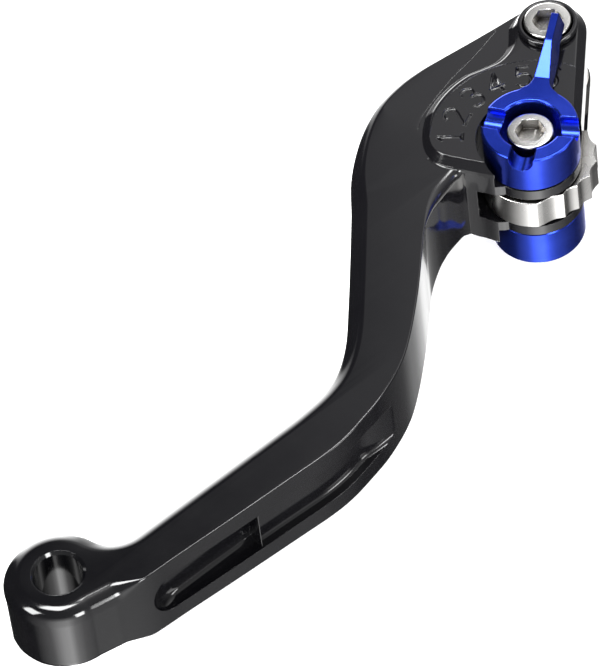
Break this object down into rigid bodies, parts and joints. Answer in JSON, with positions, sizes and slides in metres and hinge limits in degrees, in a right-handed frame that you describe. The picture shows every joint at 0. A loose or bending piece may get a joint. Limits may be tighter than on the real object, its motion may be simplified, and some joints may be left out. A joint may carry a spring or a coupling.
{
  "type": "motorcycle clutch lever",
  "caption": "Short curved clutch lever with a ball end, a forked head, a numbered dial with a pointer, a stepped reach cam and a pivot screw.",
  "frame": {"origin": "the lever's pivot axis at the middle of the lever's thickness", "axes": "+Z along the pivot axis, up through the dial; the grip runs along -X; +Y is the finger side"},
  "size_m": [0.1579, 0.0546, 0.0336],
  "materials": {
    "black_anodised": "glossy black anodising over machined aluminium",
    "blue_anodised": "satin blue anodising over turned aluminium",
    "bright_metal": "bright machined metal",
    "bronze": "plain bearing bronze",
    "steel": "plain steel",
    "nylon": "natural nylon"
  },
  "bodies": {
    "lever": {"lever_body": "black_anodised", "upper_selector_bush": "bronze", "lower_selector_bush": "bronze", "detent_plug": "steel", "detent_spring": "steel", "pivot_screw": "bright_metal", "pivot_cup": "black_anodised", "lower_pivot_bush": "bronze", "pivot_washer": "bright_metal", "pivot_lock_nut": "bright_metal", "upper_pivot_shim": "nylon", "lower_pivot_shim": "nylon"},
    "selector": {"upper_dial_cap": "blue_anodised", "lower_dial_cap": "blue_anodised", "selector_cam": "bright_metal", "selector_screw": "bright_metal", "selector_nut": "steel", "upper_thrust_washer": "nylon", "lower_thrust_washer": "nylon", "upper_drive_pin_1": "steel", "upper_drive_pin_2": "steel", "lower_drive_pin_1": "steel", "lower_drive_pin_2": "steel"},
    "detent": {"detent_ball": "bright_metal"},
    "sleeve": {"pivot_sleeve": "steel"}
  },
  "joints": [
    {"name": "selector_turn", "type": "hinge", "parent": "lever", "child": "selector", "pos_m": [-0.0197, -0.0174, 0], "axis": [0, 0, 1], "range_deg": [0, 102]},
    {"name": "detent_lift", "type": "slide", "parent": "lever", "child": "detent", "axis": [-0.766, 0.6428, 0], "range_m": [0, 0.0006], "stiffness_N_per_m": 400, "springref_m": -0.0005},
    {"name": "sleeve_turn", "type": "hinge", "parent": "lever", "child": "sleeve", "pos_m": [0, 0, 0], "axis": [0, 0, 1], "continuous": true}
  ]
}
